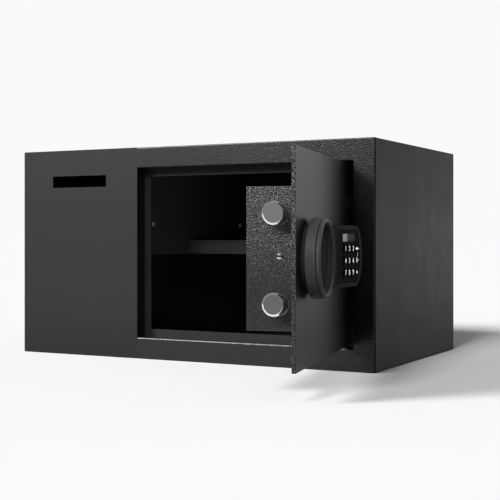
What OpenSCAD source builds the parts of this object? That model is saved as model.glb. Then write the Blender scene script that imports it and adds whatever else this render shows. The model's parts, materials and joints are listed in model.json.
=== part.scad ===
// Drop safe: a sheet steel cabinet with a deposit slot on the left and a keypad door on the right.
// The origin is the centre of the cabinet's bottom face. +X runs to the right along the front,
// +Y to the back and +Z up. The door stands open at rest, and its pieces are drawn in the closed
// place first and then swung about the hinge.

/* [Cabinet] */
// Width of the cabinet
cabinet_w = 470; // [450:5:520]
// Depth of the cabinet
cabinet_d = 275; // [265:5:330]
// Height of the cabinet
cabinet_h = 250; // [245:5:280]
// Thickness of the shell, back and front sheets
sheet_t = 2; // [1.5:0.25:2.5]
// Radius of the bends along the cabinet's outer edges
bend_r = 1.4; // [0.6:0.2:1.4]

/* [Door opening] */
// Width of the door opening
opening_w = 276; // [266:2:290]
// Distance from the opening to the cabinet's right side
opening_side = 24.5; // [22:0.5:30]
// Distance from the opening to the cabinet's bottom
opening_bottom = 25; // [22:0.5:28]
// Distance from the opening to the cabinet's top
opening_top = 24; // [22:0.5:28]
// Radius of the bends around the opening
rim_r = 1.2; // [0.6:0.2:1.4]
// Depth of the stop flange's front behind the cabinet's front face
jamb_depth = 16; // [15.5:0.25:17]
// Thickness of the jamb, partition, shelf and chute sheets
liner_t = 1.5; // [1:0.25:1.5]
// Width of the stop flange on the left
stop_side_w = 9.3; // [8:0.1:9.5]
// Width of the stop flange at the top
stop_top_w = 9.9; // [8:0.1:11]
// Width of the stop flange at the bottom
stop_bottom_w = 9; // [8:0.1:13]
// Length of top and bottom flange left off at the hinge side
stop_relief = 40; // [36:1:60]

/* [Drop slot] */
// Width of the deposit slot
slot_w = 80; // [60:1:100]
// Height of the deposit slot
slot_h = 14; // [10:0.5:18]
// Distance from the slot's upper edge to the cabinet's top
slot_top = 31.5; // [28:0.5:40]
// Width of the chute under the slot, beyond the slot on each side
chute_margin = 9; // [5:1:14]
// Depth of the chute from the front sheet
chute_run = 58; // [45:1:70]
// Drop of the chute over that depth
chute_fall = 42; // [30:1:55]
// Depth of the baffle behind the chute's lower edge
baffle_gap = 24; // [18:1:32]
// Height of the baffle below the cabinet's top sheet
baffle_h = 78; // [60:1:90]
// Width of one tooth of the baffle
tooth_w = 10; // [8:1:14]
// Height of one tooth of the baffle
tooth_h = 7; // [4:1:10]

/* [Interior] */
// Distance from the opening's left edge to the partition
partition_side = 4.5; // [3:0.25:8]
// Height of the partition's lower edge above the bottom
partition_z = 122; // [110:1:125]
// Height of the shelf's top face above the bottom
shelf_z = 139.6; // [136:0.2:150]
// Depth of the shelf's front edge behind the cabinet's front face
shelf_setback = 125; // [115:1:150]
// Height of the shelf's folded front lip
shelf_lip = 17.2; // [12:0.2:20]
// Height of the shelf's folded side tabs
shelf_tab = 14; // [10:1:16]
// Radius of the rivet and screw heads inside
head_r = 3.2; // [2.5:0.1:4]
// Height of the rivet and screw heads inside
head_h = 1.4; // [1:0.1:2]
// Radius of the rivet and screw shanks
shank_r = 1.5; // [1.2:0.1:2]

/* [Door] */
// Gap between the door and the opening all round
door_gap = 2.5; // [2:0.1:3]
// Thickness of the door plate
door_t = 4; // [3:0.25:4]
// Depth of the closed door's outer face behind the cabinet's front face
door_inset = 8; // [8:0.25:9]
// Angle that the door stands open at rest
door_open = 102.5; // [60:0.5:110]
// Distance from the hinge axis to the opening's right edge
pivot_side = 15; // [15:0.25:18]
// Distance from the hinge axis to the door's outer face
pivot_depth = 5; // [4:0.25:5]
// Radius of the hinge pins
pin_r = 2.5; // [2:0.1:3]
// Height of the hinge lugs
lug_h = 9; // [8:0.5:14]
// Radial clearance of the running fits
run_fit = 0.05; // [0.02:0.01:0.1]

/* [Lock box] */
// Distance from the door's free edge to the lock box
lock_side = 26; // [24:0.5:30]
// Width of the lock box
lock_w = 164; // [158:1:180]
// Height of the lock box
lock_h = 128; // [124:1:150]
// Depth of the lock box from the door's inner face
lock_depth = 47.25; // [45:0.25:56]
// Wall of the lock box
lock_wall = 1.2; // [0.8:0.1:1.6]
// Radius of the lock box's outer corners
lock_corner = 1; // [0.5:0.25:4]
// Thickness of the bolt guides
guide_t = 2; // [1.5:0.25:2.5]
// Height of the bolt guides from the door's inner face
guide_h = 33; // [30:0.5:34]
// Radius of the hole for the keypad's wires
cable_r = 6; // [4:0.5:8]

/* [Bolts] */
// Diameter of the locking bolts
bolt_d = 21.2; // [18:0.1:22]
// Distance between the two bolts
bolt_spacing = 80; // [76:0.2:88]
// Distance from the door's free edge to the drawn-in bolt tips
bolt_tip = 11; // [11:0.5:14]
// Distance from the bolts' axes to the door's outer face
bolt_depth = 23; // [21.5:0.25:23]
// Length of a bolt's thick part
bolt_len = 36; // [34:0.5:40]
// Diameter of a bolt's guide rod
rod_d = 8; // [6:0.5:8]
// Length of a bolt's guide rod
rod_len = 50; // [48:1:56]
// Chamfer of the bolt tips
bolt_chamfer = 1.8; // [0.8:0.1:2]
// Travel of the bolts
bolt_travel = 15; // [13:0.5:15]
// Thickness of the bolt carriage
carriage_t = 2.5; // [2:0.25:3]

/* [Knob] */
// Distance from the door's free edge to the knob's axis
knob_side = 48; // [46:0.5:54]
// Outer diameter of the knob
knob_d = 72.8; // [64:0.2:74]
// Gap under the knob, filled by its collar
knob_lift = 4.5; // [3:0.5:6]
// Thickness of the knob's rear band
band_t = 10; // [9:0.5:13]
// Thickness of the knob's front ring
ring_t = 4; // [3.5:0.25:6]
// Diameter of the knob's recess
recess_d = 63; // [52:0.5:64]
// Depth of the knob's recess
recess_t = 6.5; // [5:0.25:8]
// Radius of the spindle
spindle_r = 5; // [4:0.25:5.5]
// Radius of the crank's drive pin
crank_pin_r = 3; // [2.5:0.25:3.5]
// Play of the drive pin in its slot
crank_play = 0.5; // [0.5:0.05:0.7]

/* [Keypad] */
// Distance from the door's free edge to the keypad housing
pad_side = 88; // [86:0.5:96]
// Width of the keypad housing
pad_w = 71; // [69:0.5:76]
// Height of the keypad housing
pad_h = 59; // [58:0.5:68]
// Height of the keypad's middle above the middle of the door
pad_rise = 0.5; // [0:0.5:3]
// Bulge of the housing's arched end
pad_bulge = 10; // [6:0.5:11]
// Height of the keypad's face above the door at its low end
pad_lift = 15.5; // [14:0.5:20]
// Slant of the keypad's face
pad_slant = 11.8; // [8:0.2:14]
// Wall of the keypad housing
pad_wall = 2.5; // [2:0.25:3]
// Border of the housing around the face plate
pad_border = 4; // [3:0.25:4.5]
// Thickness of the keypad's face plate
face_t = 1.6; // [1.2:0.2:2]
// Depth of the face plate's surface below the housing's rim
face_sink = 0.4; // [0.2:0.1:0.8]
// Width of a key
key_w = 6.4; // [5.6:0.1:7]
// Height of a key
key_h = 8; // [7:0.1:8.8]
// Distance between the key columns
key_pitch_x = 9.5; // [9.4:0.1:9.8]
// Distance between the key rows
key_pitch_y = 11.5; // [11.2:0.1:12]
// Distance from the face's low end to the first key column
key_x = 28.6; // [28:0.2:29.4]
// Height of the top key row above the keypad's centre
key_y = 7.2; // [6.8:0.2:7.6]
// Height of a key above the face plate
key_rise = 1.3; // [1.1:0.1:1.6]
// Travel of a key
key_travel = 0.9; // [0.5:0.1:1]
// Clearance around a key
key_gap = 0.3; // [0.2:0.05:0.4]
// Width of the display window
display_w = 32; // [28:0.5:33]
// Height of the display window
display_h = 7.4; // [6:0.2:8]

/* [Anchor holes] */
// Radius of the anchor holes
anchor_r = 5; // [4:0.5:7]
// Distance between the floor anchor holes across the width
floor_hole_x = 340; // [280:10:380]
// Distance between the floor anchor holes across the depth
floor_hole_y = 175; // [140:5:200]
// Distance between the back anchor holes
back_hole_x = 300; // [260:10:340]
// Height of the back anchor holes above the bottom
back_hole_z = 190; // [170:5:210]

/* [Hidden] */
$fn = 64;

// Extra length of a cut so that it passes both faces
cut = 1;
// Cabinet
front_y = -cabinet_d / 2;
back_y = cabinet_d / 2;
side_x = cabinet_w / 2;
sheet_y = front_y + sheet_t;
inner_x = side_x - sheet_t;
inner_top = cabinet_h - sheet_t;
inner_back = back_y - sheet_t;
// Door opening
opening_h = cabinet_h - opening_bottom - opening_top;
open_x1 = side_x - opening_side;
open_x0 = open_x1 - opening_w;
open_z0 = opening_bottom;
open_z1 = open_z0 + opening_h;
stop_y = front_y + jamb_depth;
jamb_back = stop_y + liner_t;
// Drop side
drop_x = (open_x0 - side_x) / 2;
slot_z = cabinet_h - slot_top - slot_h;
chute_w = slot_w + 2 * chute_margin;
chute_flange = 14;
cheek_rise = 4;
cheek_back = 12;
cheek_end = 6;
baffle_y = sheet_y + chute_run + baffle_gap;
// Partition and shelf
partition_x = open_x0 - partition_side;
partition_flange = 12;
partition_tab = partition_side + stop_side_w / 2;
tab_setback = 6;
shelf_y = front_y + shelf_setback;
// Door
door_x0 = open_x0 + door_gap;
door_w = opening_w - 2 * door_gap;
door_z0 = open_z0 + door_gap;
door_h = opening_h - 2 * door_gap;
door_mid = open_z0 + opening_h / 2;
door_y = front_y + door_inset;
pivot_x = open_x1 - pivot_side;
pivot_y = door_y + pivot_depth;
pivot_s = pivot_x - door_x0;
lug_front = 9;
lug_back = 6;
lug_s0 = pivot_s - lug_front;
lug_tail = 13;
lug_tail_t = 3;
pin_short = 1;
pin_head = 3;
pin_head_t = 2;
washer_wall = 2;
// Lock box, measured outwards from the door's outer face
box_in = -door_t;
box_out = -door_t - lock_depth;
box_s0 = lock_side + lock_wall;
box_z0 = door_mid - lock_h / 2;
// Bolts and carriage
bolt_r = bolt_d / 2;
rod_r = rod_d / 2;
bolt_end = bolt_tip + bolt_len;
rod_spare = 2;
rear_guide = bolt_end + rod_len - bolt_travel - guide_t - rod_spare;
web_gap = 1;
web_out = -bolt_depth - rod_r - web_gap;
web_w = 19;
web_edge = 4;
bolt_hole_gap = 0.4;
// Crank: the pin swings 45 degrees to each side of straight up, which moves the carriage by its travel
crank_r = bolt_travel / (2 * sin(45));
crank_pin_s = knob_side + crank_r * sin(45);
crank_pin_z = crank_r * cos(45);
crank_gap = 2;
crank_t = 4;
crank_out = web_out + crank_gap + crank_t;
hub_wall = 3;
hub_rise = 2;
hub_room = 4;
crank_hub_r = spindle_r + hub_wall;
crank_wall = 1.5;
crank_pin_past = 1;
slot_end_gap = 0.6;
// Knob
knob_r = knob_d / 2;
recess_r = recess_d / 2;
knob_front = knob_lift + band_t + ring_t;
cap_floor = knob_front - recess_t;
grip_back = 3.5;
grip_edge = 1.2;
seam = 0.5;
seam_chamfer = 1;
cap_play = 0.1;
collar_in = 5;
collar_gap = 0.5;
collar_r = knob_r - collar_in;
bush_wall = 3;
bush_flange = 2;
bush_gap = 0.3;
bush_r = spindle_r + bush_wall;
spindle_past = 1.5;
// Keypad frame
pad_frame_r = (pow(pad_h / 2, 2) + pow(pad_bulge, 2)) / (2 * pad_bulge);
pad_roof = 2;
roof_w = -(face_sink + face_t);
skirt = 0.8;
skirt_t = 1;
foot_drop = 1.6;
key_corner = 1;
key_foot = roof_w - foot_drop;
dome_gap = 0.1;
membrane_w = key_foot - key_travel - dome_gap;
membrane_t = 1;
board_t = 1.6;
face_play = 0.1;
display_x = 40;
display_y = 17.8;
display_sink = 0.3;
display_step = 1;
window_gap = 1.4;
window_top = 1;
boss_r = 2;
boss_in = 2.4;
boss_side = 21;
layer_play = 0.6;
layer_over = 4;
// Screws and posts
screw_setback = 42.6;
screw_back = 8;
screw_rise = 20;
rivet_in = 25;
side_screw_z = 2;
side_screw_out = 2;
post_in = 12;
post_r = 4;
screw_grip = 8;
guide_in = 5;
// Solenoid, whose plunger points at the carriage's rear edge
plunger_r = 3;
plunger_out = web_out - carriage_t / 2;
plunger_gap = 0.3;
plunger_room = 0.5;
plunger_tip = bolt_end + web_w + plunger_gap;
plunger_pull = 4;
plunger_stub = 3;
coil_w = 26;
coil_h = 17;
coil_t = 16;
// Battery tray
cell_r = 7.1;
cell_len = 50;
cell_gap = 0.4;
cell_n = 4;
nub_r = 2.7;
nub_t = 1.2;
tray_wall = 1.6;
tray_play = 1;
tray_head = 2;
tray_side = 6;
tray_w = cell_len + 2 * (tray_wall + tray_play);
tray_h = cell_n * (2 * cell_r + cell_gap) + 2 * tray_wall;
tray_t = 2 * cell_r + tray_head;
tray_s0 = lock_side + lock_w - lock_wall - tray_side - tray_w;
lid_lap = 3;
lid_edge = 9;
lid_t = 1.2;
// Control board
board_over = 11;
board_gap = 2;
stand_h = 4;
stand_r = 3;
stand_in = 6;

// Places its children from the closed door's place to the open place at rest
module swing()
{
    translate([pivot_x, pivot_y, 0])
        rotate([0, 0, door_open])
            translate([-pivot_x, -pivot_y, 0])
                children();
}

// Frame on the door: x from the free edge, y up from the cabinet's bottom, z outwards
module on_door()
{
    swing()
        translate([door_x0, door_y, 0])
            rotate([90, 0, 0])
                children();
}

// Frame on the keypad's slanted face, with its origin at the middle of the low end
module on_pad()
{
    on_door()
        translate([pad_side, door_mid + pad_rise, pad_lift])
            rotate([0, -pad_slant, 0])
                children();
}

// Box between two corners
module span(low, high)
{
    translate(low)
        cube(high - low);
}

// Flat rectangle with round corners, centred
module round_rect(w, h, r)
{
    square([w - 2 * r, h], center = true);
    square([w, h - 2 * r], center = true);
    for (x = [-1, 1], y = [-1, 1])
        translate([x * (w / 2 - r), y * (h / 2 - r)])
            circle(r);
}

// Bar that cuts an edge round: the edge runs along z at the origin, and the body lies at -x, -y
module edge_cut(r, length)
{
    difference()
    {
        translate([-r, -r, -cut])
            cube([r + cut, r + cut, length + 2 * cut]);
        translate([-r, -r, -2 * cut])
            cylinder(r = r, h = length + 4 * cut);
    }
}

// Bars that cut the cabinet's four long edges round, from back to front
module long_edges()
{
    for (side = [0, 1], end = [0, 1])
        mirror([side, 0, 0])
            translate([side_x, back_y, end * cabinet_h])
                mirror([0, 0, 1 - end])
                    rotate([90, 0, 0])
                        edge_cut(bend_r, cabinet_d);
}

// Bar that cuts one edge of the door opening round: the sheet lies below, with its front face at y = 0
module rim_cut(length)
{
    rotate([90, 0, -90])
        difference()
        {
            translate([-rim_r, -rim_r, 0])
                cube([rim_r + cut, rim_r + cut, length]);
            translate([-rim_r, -rim_r, -cut])
                cylinder(r = rim_r, h = length + 2 * cut);
        }
}

// Bars that cut the four edges of the door opening round
module opening_rims()
{
    for (end = [0, 1])
        translate([open_x1, front_y, end == 0 ? open_z0 : open_z1])
            mirror([0, 0, end])
                rim_cut(opening_w);
    for (side = [0, 1])
        translate([side == 0 ? open_x1 : open_x0, front_y, side == 0 ? open_z1 : open_z0])
            rotate([0, side == 0 ? -90 : 90, 0])
                rim_cut(opening_h);
}

// Low round head along +z from the surface that it sits on, with its shank below
module head(shank)
{
    dome_r = (head_r * head_r + head_h * head_h) / (2 * head_h);
    slot_cut = 0.7;
    union()
    {
        difference()
        {
            intersection()
            {
                translate([0, 0, head_h - dome_r])
                    sphere(r = dome_r);
                cylinder(r = head_r, h = head_h);
            }
            translate([-head_r, -slot_cut / 2, head_h - slot_cut])
                cube([2 * head_r, slot_cut, 2 * slot_cut]);
        }
        translate([0, 0, -shank])
            cylinder(r = shank_r, h = shank);
    }
}

// Hole for a head's shank through a sheet
module shank_hole(sheet)
{
    translate([0, 0, -sheet - cut])
        cylinder(r = shank_r, h = sheet + 2 * cut);
}

// Places of the screws on the partition, looking out of its right face
module at_partition_screws()
{
    for (y = [front_y + screw_setback, inner_back - screw_back])
        translate([partition_x, y, shelf_z + screw_rise])
            rotate([0, 90, 0])
                children();
}

// Places of the rivets in the shelf's side tabs, looking out of the tabs
module at_shelf_rivets()
{
    for (side = [-1, 1], y = [shelf_y + rivet_in, inner_back - rivet_in])
        translate([side < 0 ? partition_x + liner_t : inner_x - liner_t, y, shelf_z - shelf_tab / 2])
            rotate([0, -side * 90, 0])
                children();
}

// Place of the screw in the lock box's free side, looking out of that side
module at_side_screw()
{
    on_door()
        translate([lock_side, door_mid + side_screw_z, -bolt_depth + side_screw_out])
            rotate([0, -90, 0])
                rotate([0, 0, 90])
                    children();
}

// Places of the screws in the lock box's back, looking out of that back
module at_back_screws()
{
    for (side = [-1, 1])
        on_door()
            translate([lock_side + lock_w - post_in, door_mid + side * (lock_h / 2 - post_in), box_out])
                rotate([180, 0, 0])
                    children();
}

// Places of the screws in the battery lid, looking out of it
module at_lid_screws()
{
    for (side = [-1, 1])
        on_door()
            translate([tray_s0 + tray_w / 2, door_mid + side * (tray_h / 2 + lid_edge / 2), box_out - lid_t])
                rotate([180, 0, 0])
                    children();
}

module body_shell()
{
    color([0.17, 0.17, 0.18])
        difference()
        {
            span([-side_x, sheet_y, 0], [side_x, back_y, cabinet_h]);
            span([-inner_x, sheet_y - cut, sheet_t], [inner_x, back_y + cut, inner_top]);
            long_edges();
            for (x = [-1, 1], y = [-1, 1])
                translate([x * floor_hole_x / 2, y * floor_hole_y / 2, -cut])
                    cylinder(r = anchor_r, h = sheet_t + 2 * cut);
        }
}

module back_panel()
{
    color([0.15, 0.15, 0.16])
        difference()
        {
            span([-inner_x, inner_back, sheet_t], [inner_x, back_y, inner_top]);
            for (x = [-1, 1])
                translate([x * back_hole_x / 2, back_y + cut, back_hole_z])
                    rotate([90, 0, 0])
                        cylinder(r = anchor_r, h = sheet_t + 2 * cut);
        }
}

module drop_panel()
{
    color([0.18, 0.18, 0.19])
        difference()
        {
            span([-side_x, front_y, 0], [open_x0, sheet_y, cabinet_h]);
            span([drop_x - slot_w / 2, front_y - cut, slot_z],
                [drop_x + slot_w / 2, sheet_y + cut, slot_z + slot_h]);
            long_edges();
        }
}

module front_frame()
{
    color([0.13, 0.13, 0.13])
        difference()
        {
            span([open_x0, front_y, 0], [side_x, sheet_y, cabinet_h]);
            span([open_x0 - cut, front_y - cut, open_z0], [open_x1, sheet_y + cut, open_z1]);
            translate([side_x, front_y, 0])
                rotate([0, 0, -90])
                    edge_cut(bend_r, cabinet_h);
            translate([open_x0, front_y, cabinet_h])
                rotate([90, 0, 90])
                    mirror([1, 0, 0])
                        edge_cut(bend_r, side_x - open_x0);
            long_edges();
            opening_rims();
        }
}

module jamb_frame()
{
    color([0.1, 0.1, 0.1])
        difference()
        {
            union()
            {
                difference()
                {
                    span([open_x0 - liner_t, sheet_y, open_z0 - liner_t],
                        [open_x1 + liner_t, jamb_back, open_z1 + liner_t]);
                    span([open_x0, sheet_y - cut, open_z0], [open_x1, jamb_back + cut, open_z1]);
                }
                span([open_x0, stop_y, open_z0], [open_x0 + stop_side_w, jamb_back, open_z1]);
                span([open_x0, stop_y, open_z1 - stop_top_w],
                    [open_x1 - stop_relief, jamb_back, open_z1]);
                span([open_x0, stop_y, open_z0],
                    [open_x1 - stop_relief, jamb_back, open_z0 + stop_bottom_w]);
            }
            translate([pivot_x, pivot_y, open_z0 - liner_t - cut])
                cylinder(r = pin_r + run_fit, h = opening_h + 2 * (liner_t + cut));
        }
}

module partition()
{
    color([0.06, 0.06, 0.06])
        difference()
        {
            union()
            {
                span([partition_x - liner_t, jamb_back, partition_z],
                    [partition_x, inner_back, inner_top]);
                span([partition_x - partition_flange, jamb_back + liner_t, partition_z],
                    [partition_x, inner_back, partition_z + liner_t]);
                span([partition_x - liner_t, jamb_back, partition_z],
                    [partition_x + partition_tab, jamb_back + liner_t, open_z1 - stop_top_w]);
            }
            at_partition_screws()
                shank_hole(liner_t);
        }
}

module partition_screws()
{
    color([0.75, 0.75, 0.76])
        at_partition_screws()
            head(liner_t);
}

module shelf()
{
    color([0.1, 0.1, 0.1])
        difference()
        {
            union()
            {
                span([partition_x, shelf_y, shelf_z - liner_t], [inner_x, inner_back, shelf_z]);
                span([partition_x, shelf_y, shelf_z - shelf_lip], [inner_x, shelf_y + liner_t, shelf_z]);
                for (x = [partition_x, inner_x - liner_t])
                    span([x, shelf_y + tab_setback, shelf_z - shelf_tab],
                        [x + liner_t, inner_back, shelf_z]);
            }
            at_shelf_rivets()
                shank_hole(liner_t);
        }
}

module shelf_rivets()
{
    color([0.3, 0.3, 0.3])
        at_shelf_rivets()
            head(liner_t);
}

module drop_chute()
{
    slope = atan(chute_fall / chute_run);
    color([0.12, 0.12, 0.12])
        translate([drop_x, sheet_y, slot_z])
            union()
            {
                span([-chute_w / 2, 0, -chute_flange], [chute_w / 2, liner_t, 0]);
                intersection()
                {
                    rotate([-slope, 0, 0])
                        span([-chute_w / 2, -cut, -liner_t],
                            [chute_w / 2, norm([chute_run, chute_fall]), 0]);
                    span([-chute_w / 2, 0, -2 * chute_fall], [chute_w / 2, 2 * chute_run, 0]);
                }
                for (x = [-chute_w / 2, chute_w / 2 - liner_t])
                    translate([x, 0, 0])
                        rotate([90, 0, 90])
                            linear_extrude(liner_t)
                                polygon([[0, -liner_t], [0, slot_h + cheek_rise],
                                    [chute_run - cheek_back, slot_h + cheek_rise],
                                    [chute_run - cut, cut - chute_fall],
                                    [chute_run - cheek_end, -chute_fall]]);
            }
}

module fishing_baffle()
{
    teeth = floor((chute_w + 2 * chute_margin) / tooth_w);
    baffle_w = teeth * tooth_w;
    baffle_z = inner_top - baffle_h;
    color([0.12, 0.12, 0.12])
        translate([drop_x - baffle_w / 2, baffle_y, 0])
            union()
            {
                span([0, 0, inner_top - liner_t], [baffle_w, 2 * tooth_w, inner_top]);
                rotate([90, 0, 0])
                    translate([0, 0, -liner_t])
                        linear_extrude(liner_t)
                            polygon(concat([[0, inner_top]],
                                [for (i = [0 : 2 * teeth])
                                    [i * tooth_w / 2, baffle_z - (i % 2) * tooth_h]],
                                [[baffle_w, inner_top]]));
            }
}

module hinge_pins()
{
    pin_in = door_gap + lug_h - pin_short;
    color([0.55, 0.55, 0.56])
        for (side = [0, 1])
            translate([pivot_x, pivot_y, side == 0 ? open_z0 : open_z1])
                mirror([0, 0, side])
                    union()
                    {
                        translate([0, 0, -liner_t])
                            cylinder(r = pin_r, h = liner_t + pin_in);
                        translate([0, 0, -liner_t - pin_head_t])
                            cylinder(r = pin_r + pin_head, h = pin_head_t);
                    }
}

module hinge_washers()
{
    color([0.5, 0.5, 0.48])
        for (z = [open_z0, open_z1 - door_gap])
            translate([pivot_x, pivot_y, z])
                difference()
                {
                    cylinder(r = pin_r + washer_wall, h = door_gap);
                    translate([0, 0, -cut])
                        cylinder(r = pin_r + run_fit, h = door_gap + 2 * cut);
                }
}

module door_plate()
{
    color([0.16, 0.16, 0.16])
        on_door()
            difference()
            {
                span([0, door_z0, -door_t], [door_w, door_z0 + door_h, 0]);
                for (z = [door_z0 - cut, door_z0 + door_h - lug_h])
                    span([lug_s0, z, -door_t - cut], [door_w + cut, z + lug_h + cut, cut]);
                translate([knob_side, door_mid, -door_t - cut])
                    cylinder(r = bush_r + run_fit, h = door_t + 2 * cut);
                translate([pad_side + pad_w / 2, door_mid, -door_t - cut])
                    cylinder(r = cable_r, h = door_t + 2 * cut);
            }
}

module hinge_lugs()
{
    color([0.13, 0.13, 0.13])
        on_door()
            for (z = [door_z0, door_z0 + door_h - lug_h])
                difference()
                {
                    union()
                    {
                        span([lug_s0, z, -pivot_depth - lug_back], [door_w, z + lug_h, 0]);
                        span([lug_s0 - lug_tail, z, -door_t - lug_tail_t],
                            [lug_s0, z + lug_h, -door_t]);
                    }
                    translate([pivot_s, z - cut, -pivot_depth])
                        rotate([-90, 0, 0])
                            cylinder(r = pin_r + run_fit, h = lug_h + 2 * cut);
                }
}

// Upright guide plate with a hole of radius r for each bolt
module guide_plate(s, r)
{
    difference()
    {
        span([s, box_z0 + guide_in, -door_t - guide_h],
            [s + guide_t, box_z0 + lock_h - guide_in, -door_t]);
        for (side = [-1, 1])
            translate([s - cut, door_mid + side * bolt_spacing / 2, -bolt_depth])
                rotate([0, 90, 0])
                    cylinder(r = r, h = guide_t + 2 * cut);
    }
}

module lock_chassis()
{
    color([0.5, 0.5, 0.5])
        difference()
        {
            on_door()
                difference()
                {
                    union()
                    {
                        guide_plate(box_s0, bolt_r + run_fit);
                        guide_plate(rear_guide, rod_r + run_fit);
                        span([box_s0, box_z0 + guide_in, -door_t - liner_t],
                            [rear_guide + guide_t, box_z0 + lock_h - guide_in, -door_t]);
                    }
                    translate([knob_side, door_mid, -door_t - liner_t - cut])
                        cylinder(r = crank_hub_r + hub_room, h = liner_t + 2 * cut);
                    translate([rear_guide - cut, door_mid, plunger_out])
                        rotate([0, 90, 0])
                            cylinder(r = plunger_r + plunger_room, h = guide_t + 2 * cut);
                }
            at_side_screw()
                shank_hole(lock_wall + guide_t);
        }
}

module cover_posts()
{
    color([0.5, 0.5, 0.5])
        at_back_screws()
            translate([0, 0, -lock_depth])
                difference()
                {
                    cylinder(r = post_r, h = lock_depth - lock_wall);
                    translate([0, 0, lock_depth - lock_wall - screw_grip])
                        cylinder(r = shank_r, h = screw_grip + cut);
                }
}

module solenoid()
{
    color([0.62, 0.5, 0.28])
        on_door()
            difference()
            {
                translate([rear_guide + guide_t, door_mid - coil_h / 2, plunger_out - coil_t / 2])
                    cube([coil_w, coil_h, coil_t]);
                translate([rear_guide - cut, door_mid, plunger_out])
                    rotate([0, 90, 0])
                        cylinder(r = plunger_r + run_fit, h = coil_w + guide_t);
            }
}

module solenoid_plunger()
{
    color([0.7, 0.7, 0.7])
        on_door()
            translate([plunger_tip, door_mid, plunger_out])
                rotate([0, 90, 0])
                    cylinder(r = plunger_r,
                        h = rear_guide + guide_t + coil_w - plunger_tip - plunger_pull - plunger_stub);
}

module lock_cover()
{
    color([0.14, 0.14, 0.14])
        difference()
        {
            on_door()
                cover_pan();
            at_side_screw()
                shank_hole(lock_wall);
            at_back_screws()
                shank_hole(lock_wall);
            at_lid_screws()
                shank_hole(lid_t + lock_wall);
        }
}

// Pan of the lock box with its bolt holes and its battery cut-out
module cover_pan()
{
    difference()
    {
        translate([lock_side + lock_w / 2, door_mid, box_out])
            linear_extrude(lock_depth)
                round_rect(lock_w, lock_h, lock_corner);
        span([box_s0, box_z0 + lock_wall, box_out + lock_wall],
            [lock_side + lock_w - lock_wall, box_z0 + lock_h - lock_wall, box_in + cut]);
        for (side = [-1, 1])
            translate([lock_side - cut, door_mid + side * bolt_spacing / 2, -bolt_depth])
                rotate([0, 90, 0])
                    cylinder(r = bolt_r + bolt_hole_gap, h = lock_wall + 2 * cut);
        span([tray_s0 + lid_lap, door_mid - tray_h / 2 + lid_lap, box_out - cut],
            [tray_s0 + tray_w - lid_lap, door_mid + tray_h / 2 - lid_lap, box_out + 2 * lock_wall]);
    }
}

module cover_screws()
{
    color([0.75, 0.75, 0.76])
        union()
        {
            at_side_screw()
                head(lock_wall + guide_t);
            at_back_screws()
                head(lock_wall + screw_grip);
            at_lid_screws()
                head(lid_t + lock_wall);
        }
}

module battery_tray()
{
    tray_z = box_out + lock_wall;
    color([0.08, 0.08, 0.08])
        on_door()
            difference()
            {
                span([tray_s0, door_mid - tray_h / 2, tray_z],
                    [tray_s0 + tray_w, door_mid + tray_h / 2, tray_z + tray_t]);
                span([tray_s0 + tray_wall, door_mid - tray_h / 2 + tray_wall, tray_z - cut],
                    [tray_s0 + tray_w - tray_wall, door_mid + tray_h / 2 - tray_wall,
                        tray_z + tray_t - tray_wall]);
            }
}

module battery_cells()
{
    pitch = 2 * cell_r + cell_gap;
    color([0.75, 0.6, 0.25])
        on_door()
            for (i = [0 : cell_n - 1])
                translate([tray_s0 + tray_wall + (i % 2 == 0 ? 0 : 2 * tray_play),
                    door_mid + (i - (cell_n - 1) / 2) * pitch,
                    box_out + lock_wall + tray_t - tray_wall - cell_r])
                    rotate([0, 90, 0])
                        union()
                        {
                            cylinder(r = cell_r, h = cell_len - nub_t);
                            translate([0, 0, cell_len - nub_t])
                                cylinder(r = nub_r, h = nub_t);
                        }
}

module battery_lid()
{
    color([0.12, 0.12, 0.12])
        difference()
        {
            on_door()
                translate([tray_s0 + tray_w / 2, door_mid, box_out - lid_t])
                    linear_extrude(lid_t)
                        round_rect(tray_w + lid_lap, tray_h + 2 * lid_edge, lock_corner);
            at_lid_screws()
                shank_hole(lid_t);
        }
}

module control_board()
{
    board_h = tray_h + 2 * board_over;
    low = rear_guide + guide_t + board_gap;
    high = tray_s0 + tray_w;
    color([0.1, 0.3, 0.16])
        on_door()
            union()
            {
                span([low, door_mid - board_h / 2, -door_t - stand_h - board_t],
                    [high, door_mid + board_h / 2, -door_t - stand_h]);
                for (s = [low + stand_in, high - stand_in], side = [-1, 1])
                    translate([s, door_mid + side * (board_h / 2 - stand_in), -door_t - stand_h])
                        cylinder(r = stand_r, h = stand_h);
            }
}

module spindle_bush()
{
    color([0.72, 0.6, 0.35])
        on_door()
            translate([knob_side, door_mid, 0])
                difference()
                {
                    union()
                    {
                        translate([0, 0, -door_t])
                            cylinder(r = bush_r, h = door_t + knob_lift - bush_gap);
                        translate([0, 0, -door_t - liner_t])
                            cylinder(r = bush_r + bush_flange, h = liner_t);
                    }
                    translate([0, 0, -2 * door_t])
                        cylinder(r = spindle_r + run_fit, h = 4 * door_t + knob_lift);
                }
}

module knob_collar()
{
    color([0.03, 0.03, 0.03])
        on_door()
            translate([knob_side, door_mid, 0])
                difference()
                {
                    cylinder(r = collar_r, h = knob_lift - collar_gap, $fn = 96);
                    translate([0, 0, -cut])
                        cylinder(r = bush_r + run_fit, h = knob_lift + 2 * cut);
                }
}

module knob_grip()
{
    rear = knob_lift;
    front = knob_lift + band_t;
    color([0.13, 0.13, 0.13])
        on_door()
            translate([knob_side, door_mid, 0])
                rotate_extrude($fn = 128)
                    polygon(concat(
                        [[spindle_r, rear]],
                        [for (a = [0 : 15 : 90])
                            [knob_r - grip_edge * (1 - sin(a)), rear + grip_edge * (1 - cos(a))]],
                        [[knob_r, front - seam], [knob_r - seam_chamfer, front],
                            [recess_r, front], [recess_r, rear + grip_back],
                            [spindle_r, rear + grip_back]]));
}

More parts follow.
